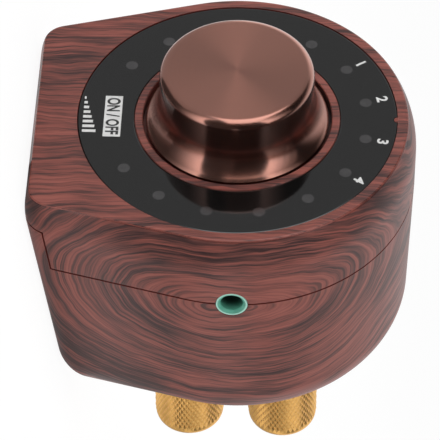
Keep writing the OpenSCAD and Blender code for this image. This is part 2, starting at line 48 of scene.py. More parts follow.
JOINTS = {joint["name"]: joint for joint in frame["joints"]}
OUT = Vector(JOINTS["volume_turn"]["axis"]).normalized()
RIGHT = Vector((1, 0, 0))
UP = OUT.cross(RIGHT)
FACE_TURN = Matrix((RIGHT, UP, OUT)).transposed()
FACE = Matrix.Translation(JOINTS["volume_turn"]["pos_m"]) @ FACE_TURN.to_4x4()
LEAN = math.asin(OUT.z)


def points_of(node):
    """A node's points in the face frame, in millimetres"""
    to_face = FACE.inverted()
    return [(to_face @ vertex.co) / MM for vertex in frame["nodes"][node].data.vertices]


def radii_of(node, x=0, y=0):
    """Least and greatest distance of a node's points from an axis along the depth"""
    radii = [math.hypot(p.x - x, p.y - y) for p in points_of(node)]
    return min(radii), max(radii)


def heights_of(node):
    """Lowest and highest of a node's points along the knob's axis"""
    heights = [p.z for p in points_of(node)]
    return min(heights), max(heights)


# Sizes of the case, and the steps in which its skin is drawn
HEAD_R = max(p.x for p in points_of("front_cover"))
CASE_DEPTH = -heights_of("rear_cover")[0]
BASE_DROP = FACE.translation.z / MM / math.cos(LEAN)
CORNER_X = 17.2
CORNER_R = 5.4
FACE_INSET = 1.55
FACE_ROLL = 6.4
FACE_EASE = 0.3
BACK_INSET = 2
BACK_ROLL = 5.4
DRAFT = 0.5
WALL = 2.2
BASE_T = 3.1
SEAM_D = 13.4
TONGUE_D = 5.3
SEAM_GAP = 0.3
SEAM_CLOSED = 0.04
HOLD = 0.15
HEAD_STEPS = 140
SIDE_STEPS = 32
BASE_STEPS = 48
CORNER_STEPS = 4, 14
EASE_STEPS = 5
ROLL_STEPS = 12

# How far a cut goes past a wall, which edges stay sharp, and the steps of the larger rings
CUT_PAST = 1
SHARP_ANGLE = math.radians(30)
ROUND_STEPS = 240

# Sizes of the face and its prints
PANEL_IN, PANEL_R = radii_of("dial_panel")
PANEL_LOW, PANEL_TOP = heights_of("dial_panel")
PANEL_EDGE = 0.15
PANEL_GAP = 0.1
RECESS_R = PANEL_R + PANEL_GAP
RECESS_D = 2.2
FLOOR_T = 2.2
SEAT_REACH = 1
COLLAR_R = PANEL_IN - PANEL_GAP
COLLAR_T = 1.35
COLLAR_IN = COLLAR_R - COLLAR_T
COLLAR_EDGE = 0.15
BUSH_HOLE_R = 3.8
KEY_R = 0.6
KEY_STEPS = 32
DOT_RING_R = 21.55
DOT_R = 1
DOT_STEPS = 40
DOT_PLACES = 16
PRINT_T = 0.02
PRINT_SHIFT = 0.36, -0.06
PRINT_PLACE = Matrix.Translation((*PRINT_SHIFT, PANEL_TOP))
MARK_R = 24.4
MARK_H = 1.9
MARK_ANGLES = [-33.7, -12.2, 11.2, 33.9]
LETTER_SWELL = 0.03
SWITCH_BOX = -4.6, -21.85, 4.85, -18.97
SWITCH_TEXT_W, SWITCH_TEXT_H = 8.5, 2.2
RAMP_BOX = -4.4, -25.3, 4.4, -23.05
RAMP_BARS = 8
RAMP_FILL = 0.55

# Sizes of the knob
KNOB_FOOT, KNOB_H = heights_of("knob")
FLANGE_R = radii_of("knob")[1]
KNOB_R = 12.6
KNOB_EDGE = 1.4
KNOB_TOP = 2.6
KNOB_IN_R = 10.4
KNOB_IN_H = KNOB_H - KNOB_TOP
FLANGE_UP = -0.1
FLANGE_EDGE = 0.12
FLARE_H = 4.4
FLARE_STEPS = 24
EDGE_STEPS = 16

# Sizes of the sockets, the terminals and the screws
JACK_HOLE_R = 2.65
JACK_BORE_R = 1.8
JACK_RIM_R = 2.2
JACK_BLUR = 0.1
# Depths down the bore over which shade is painted
JACK_SHADE_FROM, JACK_SHADE_TO = 0.3, 2.6
POWER_HOLE_R = 4.2
POWER_Y, POWER_D = 5.5, 22.7
DATA_SLOT = 3.8, 9.5
DATA_Y, DATA_D = -6.5, 19.8
POST_HOLE_R = 3.1
SCREWS = [(-16, 16), (16, 16), (-14.5, -22.5), (14.5, -22.5)]
SCREW_HOLE_R = 2.7
SCREW_SHANK_R = 1.55
BOSS_R = 3.7
BOSS_STEPS = 48
BOSS_FROM, BOSS_SEAT = 18.2, 22.2
TERMINALS = ["left_red", "left_black", "right_red", "right_black"]
KNURLS = 46
KNURL_DEPTH = 0.22
KNURL_PITCH = 1.7
CAP_CLEAR = 0.03
CAP_RIM = 0.5
CAP_EDGE = 1.2
CAP_EDGE_STEPS = 8
CAP_END = 2
STUD_HOLE_R = 2.05


def colour(red, green, blue):
    """Linear colour of an sRGB colour given from 0 to 255"""
    def linear(value):
        share = value / 255
        return share / 12.92 if share <= 0.04045 else ((share + 0.055) / 1.055) ** 2.4
    return (linear(red), linear(green), linear(blue), 1)


# Material helpers
def new_material(name):
    made = bpy.data.materials.new(name)
    made.use_nodes = True
    return made, made.node_tree, made.node_tree.nodes["Principled BSDF"]


def plug(tree, socket, value):
    """Links a socket to another, or sets it to a constant"""
    if isinstance(value, bpy.types.NodeSocket):
        tree.links.new(value, socket)
    else:
        socket.default_value = value


def add(tree, kind, inputs, **settings):
    """Adds a shader node with its inputs and settings"""
    node = tree.nodes.new("ShaderNode" + kind)
    for key, value in settings.items():
        setattr(node, key, value)
    for key, value in inputs.items():
        plug(tree, node.inputs[key], value)
    return node


def calc(tree, operation, first, second=0.0, third=0.0):
    node = add(tree, "Math", {0: first, 1: second, 2: third}, operation=operation)
    return node.outputs[0]


def smooth_step(tree, value, low, high):
    """Goes from 0 at low to 1 at high"""
    inputs = {"Value": value, "From Min": low, "From Max": high}
    return add(tree, "MapRange", inputs, interpolation_type="SMOOTHSTEP").outputs[0]


def blend(tree, share, first, second):
    """A number that goes from the first to the second with a share from 0 to 1"""
    node = add(tree, "Mix", {0: share, 2: first, 3: second}, data_type="FLOAT")
    return node.outputs[0]


def blend_tint(tree, share, first, second):
    """A colour that goes from the first to the second with a share from 0 to 1"""
    return add(tree, "Mix", {0: share, 6: first, 7: second}, data_type="RGBA").outputs[2]


def scaled(tree, value, low, high, start=0.0, end=1.0):
    """Goes from low to high where a value goes from start to end"""
    inputs = {"Value": value, "From Min": start, "From Max": end, "To Min": low, "To Max": high}
    return add(tree, "MapRange", inputs).outputs[0]


def noise(tree, vector, scale, detail=3.0, roughness=0.5):
    inputs = {"Vector": vector, "Scale": scale, "Detail": detail, "Roughness": roughness}
    return add(tree, "TexNoise", inputs).outputs[0]


def ramp(tree, value, stops):
    """Colour ramp through a list of places and colours"""
    node = add(tree, "ValToRGB", {0: value})
    bands = node.color_ramp.elements
    while len(bands) < len(stops):
        bands.new(1)
    for band, (place, tint) in zip(bands, stops):
        band.position = place
        band.color = tint
    return node.outputs[0]


def own_place(tree):
    """A piece's own coordinates in millimetres"""
    place = add(tree, "TexCoord", {}).outputs["Object"]
    return add(tree, "VectorMath", {0: place, "Scale": 1 / MM}, operation="SCALE").outputs[0]


def face_place(tree):
    """Coordinates in the face frame, in millimetres, for a piece whose own frame is the part's"""
    place = add(tree, "TexCoord", {}).outputs["Object"]
    inputs = {"Vector": place, "Location": FACE.translation, "Rotation": FACE.to_euler()}
    inputs["Scale"] = (MM, MM, MM)
    return add(tree, "Mapping", inputs, vector_type="TEXTURE").outputs[0]


def add_bump(tree, shader, height, depth):
    """Bump of a depth in millimetres"""
    inputs = {"Height": height, "Distance": depth * MM, "Strength": 1.0}
    plug(tree, shader.inputs["Normal"], add(tree, "Bump", inputs).outputs[0])


# Scale of a mottle, its darkest share of the tint and where the tint is full, then the scale of a
# fine grain, and how far that takes the roughness down and up
PLASTIC = 0.6, 0.82, 0.7, 9.0, 0.05, 0.05
METAL = 0.8, 0.85, 0.65, 12.0, 0.06, 0.08


def mottled(name, tint, roughness, grain, kind):
    """A material with a mottle in its tint, and a fine grain in its roughness and its bump"""
    mottle_scale, dark, full, grain_scale, down, up = kind
    made, tree, shader = new_material(name)
    place = face_place(tree)
    mottle = noise(tree, place, mottle_scale)
    shade = tuple(dark * part for part in tint[:3]) + (1,)
    plug(tree, shader.inputs["Base Color"], ramp(tree, mottle, [(0.3, shade), (full, tint)]))
    fine = noise(tree, place, grain_scale)
    plug(tree, shader.inputs["Roughness"], scaled(tree, fine, roughness - down, roughness + up))
    add_bump(tree, shader, fine, grain)
    return made


def moulded(name, tint, roughness, grain=0.006):
    """Moulded plastic with a faint mottle and a fine grain"""
    return mottled(name, tint, roughness, grain, PLASTIC)


def plated(name, tint, roughness, grain=0.004):
    """Plated or bare metal with faint handling marks"""
    made = mottled(name, tint, roughness, grain, METAL)
    made.node_tree.nodes["Principled BSDF"].inputs["Metallic"].default_value = 1
    return made


# Wood grain film, drawn over the case so that it runs on round the edges
GRAIN_STOPS = [
    (0.47, colour(60, 38, 37)),
    (0.53, colour(98, 58, 53)),
    (0.59, colour(134, 73, 64)),
    (0.67, colour(152, 86, 76)),
]
# Depth and flatness of the ovals on each side, and where they meet the straight grain of the face
OVAL_D = 14.0
OVAL_FLAT = 20.0
CREASE_D = 0.2
CREASE_BLUR = 0.1
# Scale of each bend in the grain, and how far it reaches
GRAIN_SWAY = 0.05, 4.0
GRAIN_BEND = 0.2, 1.1
GRAIN_WAVE = 0.9, 0.12
# Pitch, length and strength of each set of streaks
GRAIN_STREAKS = [(2.6, 40.0, 0.2), (0.8, 22.0, 0.28), (0.33, 9.0, 0.34), (0.17, 5.0, 0.2)]
STREAK_DETAIL, STREAK_ROUGHNESS = 2.0, 0.55
CLOUD_SCALE, CLOUD_STRENGTH = 0.07, 0.12
# Where the dark zone of the back corners sets in: heights, depths and rings
ZONE_HEIGHTS = -6.0, -16.0
ZONE_DEPTHS = -12.0, -17.0
ZONE_RINGS = 19.0, 21.5
ZONE_DARK = 0.07
ROLL_SHARE = 0.5
# The edge round the face, and the satin of the film from its dark grain to its pale grain
EDGE_START = -0.01, -0.03
EDGE_BLUR = 0.2
EDGE_ROUGHNESS = 0.2
SATIN_TONES = 0.4, 0.7
SATIN_ROUGHNESS = 0.46, 0.38
WOOD_SPECULAR = 0.4
GRAIN_RELIEF = 0.03


def grain_lines(tree, place):
    """Distance across the grain: straight along the face, in flat ovals round each side's middle"""
    sideways, up, out = add(tree, "SeparateXYZ", {0: place}).outputs
    reach = calc(tree, "ADD", calc(tree, "ABSOLUTE", up), OVAL_FLAT)
    along = calc(tree, "DIVIDE", calc(tree, "POWER", up, 2.0), reach)
    down = calc(tree, "ADD", out, OVAL_D)
    squares = calc(tree, "ADD", calc(tree, "POWER", along, 2.0), calc(tree, "POWER", down, 2.0))
    face = smooth_step(tree, out, -CREASE_D - CREASE_BLUR, -CREASE_D + CREASE_BLUR)
    return blend(tree, face, calc(tree, "SQRT", squares), sideways)


def dark_zones(tree, place, rings):
    """1 round the back corners of the base, and less along the rolled edge, where the film is made darker
    """
    _, up, out = add(tree, "SeparateXYZ", {0: place}).outputs
    low = smooth_step(tree, up, *ZONE_HEIGHTS)
    behind = calc(tree, "MULTIPLY", low, smooth_step(tree, out, *ZONE_DEPTHS))
    corner = calc(tree, "MULTIPLY", behind, smooth_step(tree, rings, *ZONE_RINGS))
    side = smooth_step(tree, out, -CREASE_D + CREASE_BLUR, -CREASE_D - CREASE_BLUR)
    roll = calc(tree, "MULTIPLY", side, smooth_step(tree, out, -FACE_ROLL, -FACE_ROLL / 2))
    return calc(tree, "MULTIPLY_ADD", roll, ROLL_SHARE, corner)


def face_edge(tree, place):
    """1 on the edge between the face and the side, which is rubbed smooth"""
    out = add(tree, "SeparateXYZ", {0: place}).outputs[2]
    behind = smooth_step(tree, out, *EDGE_START)
    return calc(tree, "MULTIPLY", behind, smooth_step(tree, out, -FACE_EASE - EDGE_BLUR, -FACE_EASE))


def bent(tree, rings, place, scale, reach):
    """Rings that a soft noise bends by a reach in millimetres"""
    return calc(tree, "MULTIPLY_ADD", noise(tree, place, scale, 1.0), reach, rings)


def streaks(tree, rings, place, pitch, length):
    """Streaks along the rings, of a pitch and a length in millimetres"""
    parts = add(tree, "SeparateXYZ", {0: place}).outputs
    places = {0: calc(tree, "DIVIDE", rings, pitch)}
    places[1] = calc(tree, "DIVIDE", parts[1], length)
    places[2] = calc(tree, "DIVIDE", parts[0], length)
    ruled = add(tree, "CombineXYZ", places).outputs[0]
    return noise(tree, ruled, 1.0, STREAK_DETAIL, STREAK_ROUGHNESS)


def wood_tone(tree, place):
    """How pale the grain is at a place"""
    sway = bent(tree, grain_lines(tree, place), place, *GRAIN_SWAY)
    rings = bent(tree, bent(tree, sway, place, *GRAIN_BEND), place, *GRAIN_WAVE)
    cloud = calc(tree, "MULTIPLY", noise(tree, place, CLOUD_SCALE, 1.0), CLOUD_STRENGTH)
    tone = calc(tree, "MULTIPLY_ADD", dark_zones(tree, place, sway), -ZONE_DARK, cloud)
    for pitch, length, strength in GRAIN_STREAKS:
        tone = calc(tree, "MULTIPLY_ADD", streaks(tree, rings, place, pitch, length), strength, tone)
    return tone


def wood_film():
    """Satin film with a printed grain, a little rougher where the grain is dark"""
    made, tree, shader = new_material("wood_film")
    place = face_place(tree)
    tone = wood_tone(tree, place)
    plug(tree, shader.inputs["Base Color"], ramp(tree, tone, GRAIN_STOPS))
    satin = scaled(tree, tone, *SATIN_ROUGHNESS, *SATIN_TONES)
    plug(tree, shader.inputs["Roughness"], blend(tree, face_edge(tree, place), satin, EDGE_ROUGHNESS))
    shader.inputs["Specular IOR Level"].default_value = WOOD_SPECULAR
    add_bump(tree, shader, tone, GRAIN_RELIEF)
    return made


# Gloss of the dial panel
DIAL_DARK, DIAL_PALE = colour(12, 12, 12), colour(14, 14, 14)
DIAL_CLOUD_SCALE, DIAL_DUST_SCALE = 0.15, 4.0
DIAL_SPECULAR = 0.91
DIAL_ROUGHNESS = 0.05, 0.09


def dial_gloss():
    """Gloss black with a trace of dust in the polish"""
    made, tree, shader = new_material("dial_gloss")
    place = face_place(tree)
    cloud = noise(tree, place, DIAL_CLOUD_SCALE)
    dust = noise(tree, place, DIAL_DUST_SCALE)
    plug(tree, shader.inputs["Base Color"], ramp(tree, cloud, [(0.3, DIAL_DARK), (0.7, DIAL_PALE)]))
    shader.inputs["Specular IOR Level"].default_value = DIAL_SPECULAR
    plug(tree, shader.inputs["Roughness"], scaled(tree, dust, *DIAL_ROUGHNESS))
    return made


# Anodised metal of the knob, with painted shade that darkens its side between the flare and the top's edge
SPUN_DARK = 0.418, 0.178, 0.130, 1
SPUN_BRIGHT = 0.436, 0.186, 0.136, 1
SPUN_ROUGHNESS = 0.19, 0.21
SPUN_STRETCH = 0.95
SPUN_STRETCH_TURN = 0.25
SPUN_COAT_ROUGHNESS = 0.2
SPUN_COAT_IOR = 1.55
RING_SCALE = 14.0
RING_RELIEF = 0.0006
# Blur of the painted shade round the knob's side, how far it darkens it, and how much less metallic it
# makes it
WAIST_BLUR = 1
WAIST_PAINTED_SHADE = 0.6
WAIST_SHADE_MATTE = 0.05


def knob_shade_band(tree, height):
    """1 on the knob's side, between the flare and the round edge of the top, where shade is painted"""
    above = smooth_step(tree, height, FLARE_H - WAIST_BLUR, FLARE_H + WAIST_BLUR)
    below = smooth_step(tree, height, KNOB_H - KNOB_EDGE / 2, KNOB_H - KNOB_EDGE)
    return calc(tree, "MULTIPLY", above, below)


def spun_metal():
    """Anodised metal, turned on a lathe, with fine rings round the knob's axis, and painted shade round
    its side
    """
    made, tree, shader = new_material("spun_metal")
    x, y, height = add(tree, "SeparateXYZ", {0: own_place(tree)}).outputs
    squares = calc(tree, "ADD", calc(tree, "POWER", x, 2.0), calc(tree, "POWER", y, 2.0))
    turned = add(tree, "CombineXYZ", {0: calc(tree, "SQRT", squares), 1: height}).outputs[0]
    rings = noise(tree, turned, RING_SCALE, 2.0)
    bright = ramp(tree, rings, [(0.3, SPUN_DARK), (0.7, SPUN_BRIGHT)])
    shade_band = knob_shade_band(tree, height)
    # Painted shade: the side is darkened towards black and made a little less metallic
    shade = calc(tree, "MULTIPLY", shade_band, WAIST_PAINTED_SHADE)
    plug(tree, shader.inputs["Base Color"], blend_tint(tree, shade, bright, (0, 0, 0, 1)))
    shade_matte = calc(tree, "MULTIPLY", shade_band, WAIST_SHADE_MATTE)
    plug(tree, shader.inputs["Metallic"], calc(tree, "SUBTRACT", 1.0, shade_matte))
    shader.inputs["Coat Weight"].default_value = 1
    shader.inputs["Coat Roughness"].default_value = SPUN_COAT_ROUGHNESS
    shader.inputs["Coat IOR"].default_value = SPUN_COAT_IOR
    plug(tree, shader.inputs["Roughness"], scaled(tree, rings, *SPUN_ROUGHNESS))
    shader.inputs["Anisotropic"].default_value = SPUN_STRETCH
    shader.inputs["Anisotropic Rotation"].default_value = SPUN_STRETCH_TURN
    turning = add(tree, "Tangent", {}, direction_type="RADIAL", axis="Z")
    plug(tree, shader.inputs["Tangent"], turning.outputs[0])
    add_bump(tree, shader, rings, RING_RELIEF)
    return made


# Plastic of the audio socket, with a painted highlight round its rim and painted shade down its bore
TEAL = colour(96, 176, 152)
TEAL_RIM_HIGHLIGHT = colour(168, 216, 200)
TEAL_BORE_SHADE = colour(46, 70, 62)


def socket_teal():
    """Teal plastic, with a painted highlight round the rim of the nose and painted shade down its bore"""
    made = moulded("plastic_teal", TEAL, 0.38)
    tree = made.node_tree
    shader = tree.nodes["Principled BSDF"]
    plain = shader.inputs["Base Color"].links[0].from_socket
    middle = (0, 0, -SEAM_D)
    place = add(tree, "VectorMath", {0: face_place(tree), 1: middle}, operation="SUBTRACT").outputs[0]
    flat = add(tree, "VectorMath", {0: place, 1: (0, 1, 1)}, operation="MULTIPLY").outputs[0]
    radius = add(tree, "VectorMath", {0: flat}, operation="LENGTH").outputs["Value"]
    depth = calc(tree, "SUBTRACT", HEAD_R, add(tree, "SeparateXYZ", {0: place}).outputs[0])
    # Painted shade down the bore, deeper with depth
    inside = smooth_step(tree, radius, JACK_BORE_R + JACK_BLUR, JACK_BORE_R)
    dark = calc(tree, "MULTIPLY", inside, smooth_step(tree, depth, JACK_SHADE_FROM, JACK_SHADE_TO))
    # Painted highlight round the rim of the nose
    rim = smooth_step(tree, radius, JACK_RIM_R, JACK_RIM_R + 1.5 * JACK_BLUR)
    rim_highlighted = blend_tint(tree, rim, plain, TEAL_RIM_HIGHLIGHT)
    plug(tree, shader.inputs["Base Color"], blend_tint(tree, dark, rim_highlighted, TEAL_BORE_SHADE))
    return made


# Finish of each material slot in the frame
FINISHES = {
    "casing": moulded("case_core", colour(96, 52, 46), 0.5),
    "panel": dial_gloss(),
    "tape": moulded("tape_white", (0.75, 0.75, 0.7, 1), 0.7),
    "clear": moulded("guide_clear", (0.8, 0.82, 0.85, 1), 0.2),
    "lamp": moulded("lamp_cream", (0.85, 0.82, 0.7, 1), 0.3),
    "board": moulded("board_green", (0.03, 0.16, 0.07, 1), 0.35),
    "black_plastic": moulded("plastic_black", (0.018, 0.018, 0.02, 1), 0.42),
    "pad": moulded("pad_grey", (0.35, 0.42, 0.5, 1), 0.8),
    "bare_aluminium": plated("aluminium_bare", (0.75, 0.76, 0.78, 1), 0.38),
    "copper_aluminium": spun_metal(),
    "ferrite": moulded("ferrite_grey", (0.05, 0.05, 0.055, 1), 0.6),
    "can": moulded("sleeve_blue", (0.05, 0.05, 0.14, 1), 0.35),
    "radio": moulded("board_blue", (0.03, 0.08, 0.25, 1), 0.35),
    "steel": plated("steel_plated", (0.66, 0.66, 0.68, 1), 0.3),
    "white_plastic": moulded("plastic_cream", (0.7, 0.7, 0.65, 1), 0.5),
    "teal_plastic": socket_teal(),
    "gilt_brass": plated("brass_gilt", (0.95, 0.54, 0.16, 1), 0.34),
    "red_plastic": moulded("plastic_red", (0.42, 0.02, 0.02, 1), 0.35),
}
DOT_GREY = plated("dot_grey", (0.19, 0.185, 0.188, 1), 0.14, 0.001)
PRINT_WHITE = moulded("print_white", (0.78, 0.78, 0.77, 1), 0.4, 0.001)
PRINT_DARK = moulded("print_dark", (0.02, 0.02, 0.02, 1), 0.4, 0.001)
SEAM_EDGE = moulded("seam_edge", colour(112, 36, 28), 0.6)


# Shape helpers: a shape is a list of points and a list of faces
def joined(*shapes):
    points, faces = [], []
    for shape_points, shape_faces in shapes:
        start = len(points)
        points += shape_points
        faces += [[start + index for index in face] for face in shape_faces]
    return points, faces


def moved(shape, place):
    """A shape put through a matrix"""
    return [place @ Vector(point) for point in shape[0]], shape[1]


def at_places(shape, places):
    """A copy of a shape at each place, given by its x and y"""
    return [moved(shape, Matrix.Translation((x, y, 0))) for x, y in places]


def spread(first, last, steps):
    """Numbers from the first to the last, in equal steps"""
    return [first + (last - first) * i / steps for i in range(steps + 1)]


def between(first, last, steps):
    """Points that part a straight stretch, without its ends"""
    return [first.lerp(last, share) for share in spread(0, 1, steps)[1:-1]]


def arc(x, y, radius, angles):
    return [Vector((x + radius * math.cos(a), y + radius * math.sin(a))) for a in angles]


def oblong(x0, y0, x1, y1):
    return [(x0, y0), (x1, y0), (x1, y1), (x0, y1)]


def circle(radius, steps=64):
    turn = 2 * math.pi / steps
    return [(radius * math.cos(turn * i), radius * math.sin(turn * i)) for i in range(steps)]


def slot(width, length, steps=16):
    """Outline of a slot with round ends, its length along y"""
    radius = width / 2
    reach = (length - width) / 2
    angles = [math.pi * i / steps for i in range(steps + 1)]
    upper = [(radius * math.cos(a), reach + radius * math.sin(a)) for a in angles]
    lower = [(-x, -y) for x, y in upper]
    return upper + lower


def prism(loop, low, high):
    """A loop of x and y drawn out along z"""
    count = len(loop)
    points = [Vector((x, y, z)) for z in (low, high) for x, y in loop]
    sides = [[i, (i + 1) % count, count + (i + 1) % count, count + i] for i in range(count)]
    return points, sides + [list(range(count - 1, -1, -1)), list(range(count, 2 * count))]


def lathe(profile, steps=160):
    """A closed profile of radii and heights turned about z; a radius of 0 closes on the axis"""
    points, rings = [], []
    for radius, height in profile:
        ring = 1 if radius == 0 else steps
        rings.append(list(range(len(points), len(points) + ring)))
        for i in range(ring):
            angle = 2 * math.pi * i / steps
            points.append(Vector((radius * math.cos(angle), radius * math.sin(angle), height)))
    faces = []
    for low, high in zip(rings, rings[1:] + rings[:1]):
        for i in range(steps):
            (a, b), (d, c) = [(ring[i % len(ring)], ring[(i + 1) % len(ring)]) for ring in (low, high)]
            face = list(dict.fromkeys([a, b, c, d]))
            if len(face) > 2:
                faces.append(face)
    return points, faces


def roll_in(inset, length, depth):
    """How far a rolled edge stands in at a depth from its rim"""
    sweep = 2 * math.atan2(inset, length)
    radius = length / math.sin(sweep)
    return radius - math.sqrt(radius ** 2 - max(length - depth, 0) ** 2)


def make(name, shape, *materials):
    """A mesh object from a shape in the face frame, smooth but for its sharp edges"""
    mesh = bpy.data.meshes.new(name)
    mesh.from_pydata([FACE @ (Vector(point) * MM) for point in shape[0]], [], shape[1])
    made = bpy.data.objects.new(name, mesh)
    bpy.context.scene.collection.objects.link(made)
    for material in materials:
        mesh.materials.append(material)
    finish_shading(mesh)
    return made


def finish_shading(mesh):
    mesh.shade_smooth()
    mesh.set_sharp_from_angle(angle=SHARP_ANGLE)


def settle(piece):
    """Turns a piece's modifiers into its mesh"""
    bpy.context.view_layer.update()
    worked = piece.evaluated_get(bpy.context.evaluated_depsgraph_get())
    piece.data = bpy.data.meshes.new_from_object(worked)
    piece.modifiers.clear()
    finish_shading(piece.data)


def cut(piece, shape, material_index=0):
    """Cuts a shape out of a piece"""
    tool = make("cutter", shape, *piece.data.materials)
    for polygon in tool.data.polygons:
        polygon.material_index = material_index
    modifier = piece.modifiers.new("cut", "BOOLEAN")
    modifier.object = tool
    modifier.operation = "DIFFERENCE"
    modifier.solver = "EXACT"
    settle(piece)
    bpy.data.objects.remove(tool)


def fit(piece, body, material_slot, *nodes):
    """Rides a piece on its body in place of the nodes that it stands for"""
    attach(piece, body)
    if nodes:
        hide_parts(*nodes)


# The case, whose two covers share one skin
def side_angle():
    """Angle by which each side leans in towards the base"""
    drop = CORNER_R - BASE_DROP
    return -math.atan2(drop, CORNER_X) - math.acos((HEAD_R - CORNER_R) / math.hypot(CORNER_X, drop))


def step_angle():
    """Turn of the base corner at which the seam steps, at the height of the base plate"""
    height = BASE_T / math.cos(LEAN)
    return math.pi + math.asin((CORNER_R - height) / CORNER_R)


def corner_angles(tangent):
    """Turns round the left base corner, with the seam's gap between two of them"""
    gap = SEAM_GAP / 2 / CORNER_R
    step = step_angle()
    above, below = CORNER_STEPS
    upper = spread(math.pi - tangent, step - gap, above)
    return upper + spread(step + gap, 1.5 * math.pi, below)


def outline(side_in, base_in, depth):
    """Ring of points round the case at a depth"""
    x = CORNER_X + depth * math.tan(LEAN) * math.tan(side_angle())
    y = CORNER_R - BASE_DROP + depth * math.tan(LEAN) - side_in + base_in
    tangent = math.atan2(y, x) + math.acos((HEAD_R - CORNER_R) / math.hypot(x, y))
    head = arc(0, 0, HEAD_R - side_in, spread(tangent, math.pi - tangent, HEAD_STEPS))
    left = arc(-x, y, CORNER_R - side_in, corner_angles(tangent))
    right = [Vector((-point.x, point.y)) for point in reversed(left)]
    ring = head + between(head[-1], left[0], SIDE_STEPS) + left
    ring += between(left[-1], right[0], BASE_STEPS) + right + between(right[-1], head[0], SIDE_STEPS)
    return [Vector((point.x, point.y, -depth)) for point in ring]


def face_rows():
    """Insets and depths of the skin from the face's eased edge back to the seam"""
    half = SEAM_GAP / 2
    rim = FACE_INSET + FACE_EASE
    eased = roll_in(FACE_INSET, FACE_ROLL, FACE_EASE)
    rows = [(rim + HOLD, 0)]
    for t in spread(0, 1, EASE_STEPS):
        inset = (1 - t) ** 2 * rim + 2 * t * (1 - t) * FACE_INSET + t * t * eased
        rows.append((inset, t * t * FACE_EASE))
    rolled = spread(FACE_EASE, FACE_ROLL, ROLL_STEPS)[1:]
    depths = [depth for depth in rolled if abs(depth - TONGUE_D) > SEAM_GAP]
    depths += [TONGUE_D - half, TONGUE_D + half, SEAM_D - half]
    return rows + [(roll_in(FACE_INSET, FACE_ROLL, depth), depth) for depth in sorted(depths)]


def skin_rows():
    """Insets of side and base at each depth, from the face to the back"""
    rows = [(inset, inset, depth) for inset, depth in face_rows()]
    straight = CASE_DEPTH - BACK_ROLL - SEAM_D
    for depth in [SEAM_D + SEAM_GAP / 2] + spread(CASE_DEPTH - BACK_ROLL, CASE_DEPTH, ROLL_STEPS):
        inset = roll_in(BACK_INSET, BACK_ROLL, CASE_DEPTH - depth)
        narrowed = DRAFT * min((depth - SEAM_D) / straight, 1)
        rows.append((narrowed + inset, inset, depth))
    last_side, last_base, last_depth = rows[-1]
    return rows + [(last_side + HOLD, last_base + HOLD, last_depth)]


def cover_of(zone, low, high):
    """Which cover holds a cell of the skin between two depths: in the base strip, its edge or above it"""
    front_end = SEAM_D if zone == "above" else TONGUE_D
    rear_start = TONGUE_D if zone == "strip" else SEAM_D
    if high < front_end:
        return "front"
    if low > rear_start:
        return "rear"
    return None


def skin_cells(rows, count):
    """Faces of each cover's skin, from the rings of points round the case"""
    left_step = HEAD_STEPS + SIDE_STEPS + CORNER_STEPS[0]
    right_step = left_step + 2 * CORNER_STEPS[1] + BASE_STEPS + 1
    faces = {"front": [], "rear": [], None: []}
    for column in range(count):
        following = (column + 1) % count
        zone = "strip" if left_step < column < right_step else "above"
        zone = "edge" if column in (left_step, right_step) else zone
        for row in range(len(rows) - 1):
            low, high = row * count, (row + 1) * count
            cover = cover_of(zone, rows[row][2], rows[row + 1][2])
            faces[cover].append([low + column, high + column, high + following, low + following])
    return faces


def skin_shapes():
    """The front and the rear cover as closed walls, each with the number of its skin's faces"""
    rows = skin_rows()
    rings = [outline(*row) for row in rows]
    inner_rings = [outline(side + WALL, base + WALL, inner_depth(depth)) for side, base, depth in rows]
    count = len(rings[0])
    faces = skin_cells(rows, count)
    recess = len(rows) * count
    last = recess - count
    for column in range(count):
        following = (column + 1) % count
        faces["front"].append([recess + column, column, following, recess + following])
    faces["rear"].append([last + column for column in reversed(range(count))])
    outer = sum(rings, []) + recess_ring(rings[0], 0)
    inner = sum(inner_rings, []) + recess_ring(rings[0], WALL)
    return [walled(outer, inner, faces[cover]) for cover in ("front", "rear")]


def inner_depth(depth):
    """Depth of the inner skin behind a row of the outer one, closed up at the seams"""
    for seam in (SEAM_D, TONGUE_D):
        if abs(depth - seam) < SEAM_GAP:
            return seam + math.copysign(SEAM_CLOSED / 2, depth - seam)
    return min(max(depth, WALL), CASE_DEPTH - WALL)


def recess_ring(ring, depth):
    """The recess's edge, with a point for each point of a ring round it"""
    return [Vector((*(point.xy.normalized() * RECESS_R), -depth)) for point in ring]


def walled(outer, inner, faces):
    """Closes the gap between an outer and an inner skin, and counts the faces of both skins"""
    count = len(outer)
    skins = faces + [[count + index for index in reversed(face)] for face in faces]
    edges = {(a, b) for face in faces for a, b in zip(face, face[1:] + face[:1])}
    rims = [[b, a, count + a, count + b] for a, b in sorted(edges) if (b, a) not in edges]
    points, kept = used(outer + inner, skins + rims)
    return (points, kept), len(skins)


def used(points, faces):
    """A shape with only the points that its faces use"""
    kept = sorted({index for face in faces for index in face})
    place = {index: i for i, index in enumerate(kept)}
    return [points[index] for index in kept], [[place[index] for index in face] for face in faces]


def across(y, depth):
    """Turns a shape's z to the right, at a height and a depth"""
    return Matrix.Translation((0, y, -depth)) @ Matrix.Rotation(math.pi / 2, 4, "Y")


# Place of the seam's edge among a cover's materials
EDGE_INDEX = 1


def make_cover(name, walls, wood):
    """A cover with dark edges at its seam"""
    shape, skin_count = walls
    cover = make(name, shape, wood, SEAM_EDGE)
    for polygon in cover.data.polygons[skin_count:]:
        polygon.material_index = EDGE_INDEX
    return cover


def key_shape(radius, low, high):
    """Round key at the top of the recess, which keeps the panel from turning"""
    return moved(prism(circle(radius, KEY_STEPS), low, high), Matrix.Translation((0, RECESS_R, 0)))


